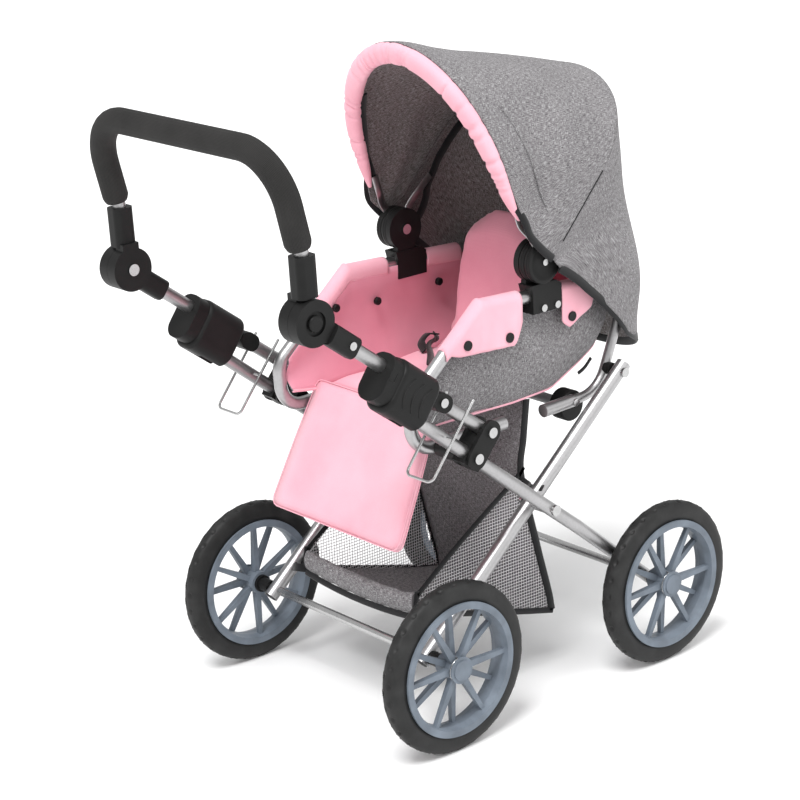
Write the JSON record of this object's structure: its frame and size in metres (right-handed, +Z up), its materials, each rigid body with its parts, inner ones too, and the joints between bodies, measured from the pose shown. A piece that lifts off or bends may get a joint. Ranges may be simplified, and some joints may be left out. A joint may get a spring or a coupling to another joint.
{
  "type": "doll stroller",
  "caption": "Folding doll stroller with scissor frame, swing handle, folding hood, seat with foot flap, spoked wheels and a basket.",
  "frame": {"origin": "on the floor under the middle of the stroller", "axes": "+Z up, +Y the way it is pushed, +X to the pusher's right"},
  "size_m": [0.3166, 0.5176, 0.6054],
  "materials": {
    "silver_tube": "satin",
    "zinc_steel": "satin",
    "black_plastic": "satin",
    "black_snap": "gloss",
    "black_foam": "matt",
    "tyre": "matt",
    "slate_plastic": "satin",
    "grey_melange": "matt",
    "pink_cloth": "matt"
  },
  "bodies": {
    "chassis": {"front_leg_right": "silver_tube", "front_leg_left": "silver_tube", "front_axle": "zinc_steel", "front_axle_bushes": "black_plastic", "scissor_bolts": "zinc_steel", "scissor_spacers": "zinc_steel", "frame_brackets": "black_plastic", "bracket_bolts": "zinc_steel", "seat_frame": "silver_tube", "seat_supports": "silver_tube", "support_rivets": "zinc_steel", "support_spacers": "black_plastic", "cross_tube": "silver_tube", "seat_knobs": "black_plastic", "seat_shell": "grey_melange", "backrest_pad": "pink_cloth", "side_flaps": "pink_cloth", "small_flaps": "pink_cloth", "snap_studs": "black_snap", "hood_brackets": "black_plastic", "hood_screws": "zinc_steel", "hood_pins": "zinc_steel", "hood_rear_panel": "grey_melange", "basket": "grey_melange"},
    "rear_frame": {"rear_leg_right": "silver_tube", "rear_leg_left": "silver_tube", "rear_axle": "zinc_steel", "rear_axle_bushes": "black_plastic", "leg_top_bolts": "zinc_steel"},
    "handle": {"handle_tube_right": "silver_tube", "handle_tube_left": "silver_tube", "lower_sockets": "black_plastic", "socket_screws": "zinc_steel", "joint_pins": "zinc_steel", "handle_clips": "black_plastic", "clip_bolts": "zinc_steel"},
    "handlebar": {"handlebar_tube": "silver_tube", "handle_grip": "black_foam", "upper_sockets": "black_plastic"},
    "button_right": {"joint_button_right": "black_plastic"},
    "button_left": {"joint_button_left": "black_plastic"},
    "slider_right": {"slider_right": "black_plastic"},
    "slider_left": {"slider_left": "black_plastic"},
    "bail_right": {"bail_right": "zinc_steel"},
    "bail_left": {"bail_left": "zinc_steel"},
    "hood_mid": {"hood_mid_bow": "zinc_steel", "hood_mid_panel": "grey_melange"},
    "hood_front": {"hood_front_bow": "zinc_steel", "hood_front_panel": "grey_melange", "hood_binding": "pink_cloth"},
    "foot_flap": {"foot_flap": "pink_cloth"},
    "wheel_front_right": {"tyre_front_right": "tyre", "rim_front_right": "slate_plastic"},
    "wheel_front_left": {"tyre_front_left": "tyre", "rim_front_left": "slate_plastic"},
    "wheel_rear_right": {"tyre_rear_right": "tyre", "rim_rear_right": "slate_plastic"},
    "wheel_rear_left": {"tyre_rear_left": "tyre", "rim_rear_left": "slate_plastic"}
  },
  "joints": [
    {"name": "frame_fold", "type": "hinge", "parent": "chassis", "child": "rear_frame", "pos_m": [0, 0.0386, 0.191], "axis": [1, 0, 0], "range_deg": [0, 45]},
    {"name": "handle_fold", "type": "hinge", "parent": "chassis", "child": "handle", "pos_m": [0, -0.0405, 0.287], "axis": [1, 0, 0], "range_deg": [-38, 0]},
    {"name": "handlebar_tilt", "type": "hinge", "parent": "handle", "child": "handlebar", "pos_m": [0, -0.2252, 0.4255], "axis": [1, 0, 0], "range_deg": [-60, 60]},
    {"name": "button_press_right", "type": "slide", "parent": "handle", "child": "button_right", "axis": [-1, 0, 0], "range_m": [0, 0.0025], "stiffness_N_per_m": 300, "springref_m": -0.001},
    {"name": "button_press_left", "type": "slide", "parent": "handle", "child": "button_left", "axis": [1, 0, 0], "range_m": [0, 0.0025], "stiffness_N_per_m": 300, "springref_m": -0.001},
    {"name": "slider_lift_right", "type": "slide", "parent": "handle", "child": "slider_right", "axis": [0, -0.8001, 0.5999], "range_m": [0, 0.022]},
    {"name": "slider_lift_left", "type": "slide", "parent": "handle", "child": "slider_left", "axis": [0, -0.8001, 0.5999], "range_m": [0, 0.022]},
    {"name": "bail_swing_right", "type": "hinge", "parent": "chassis", "child": "bail_right", "pos_m": [0.136, -0.09137, 0.29464], "axis": [1, 0, 0], "range_deg": [0, 50]},
    {"name": "bail_swing_left", "type": "hinge", "parent": "chassis", "child": "bail_left", "pos_m": [-0.136, -0.09137, 0.29464], "axis": [1, 0, 0], "range_deg": [0, 50]},
    {"name": "hood_fold_mid", "type": "hinge", "parent": "chassis", "child": "hood_mid", "pos_m": [0, 0.068, 0.4117], "axis": [1, 0, 0], "range_deg": [-50, 0]},
    {"name": "hood_fold_front", "type": "hinge", "parent": "hood_mid", "child": "hood_front", "pos_m": [0, 0.068, 0.4117], "axis": [1, 0, 0], "range_deg": [-35, 0]},
    {"name": "flap_lift", "type": "hinge", "parent": "chassis", "child": "foot_flap", "pos_m": [0, -0.0478, 0.277], "axis": [1, 0, 0], "range_deg": [-55, 0]},
    {"name": "wheel_spin_front_right", "type": "hinge", "parent": "chassis", "child": "wheel_front_right", "pos_m": [0.1457, 0.1788, 0.08], "axis": [1, 0, 0], "continuous": true},
    {"name": "wheel_spin_front_left", "type": "hinge", "parent": "chassis", "child": "wheel_front_left", "pos_m": [-0.1457, 0.1788, 0.08], "axis": [1, 0, 0], "continuous": true},
    {"name": "wheel_spin_rear_right", "type": "hinge", "parent": "rear_frame", "child": "wheel_rear_right", "pos_m": [0.1457, -0.0938, 0.08], "axis": [1, 0, 0], "continuous": true},
    {"name": "wheel_spin_rear_left", "type": "hinge", "parent": "rear_frame", "child": "wheel_rear_left", "pos_m": [-0.1457, -0.0938, 0.08], "axis": [1, 0, 0], "continuous": true}
  ],
  "couplings": [
    {"joint": "hood_fold_front", "follows": "hood_fold_mid", "ratio": 0.7}
  ]
}
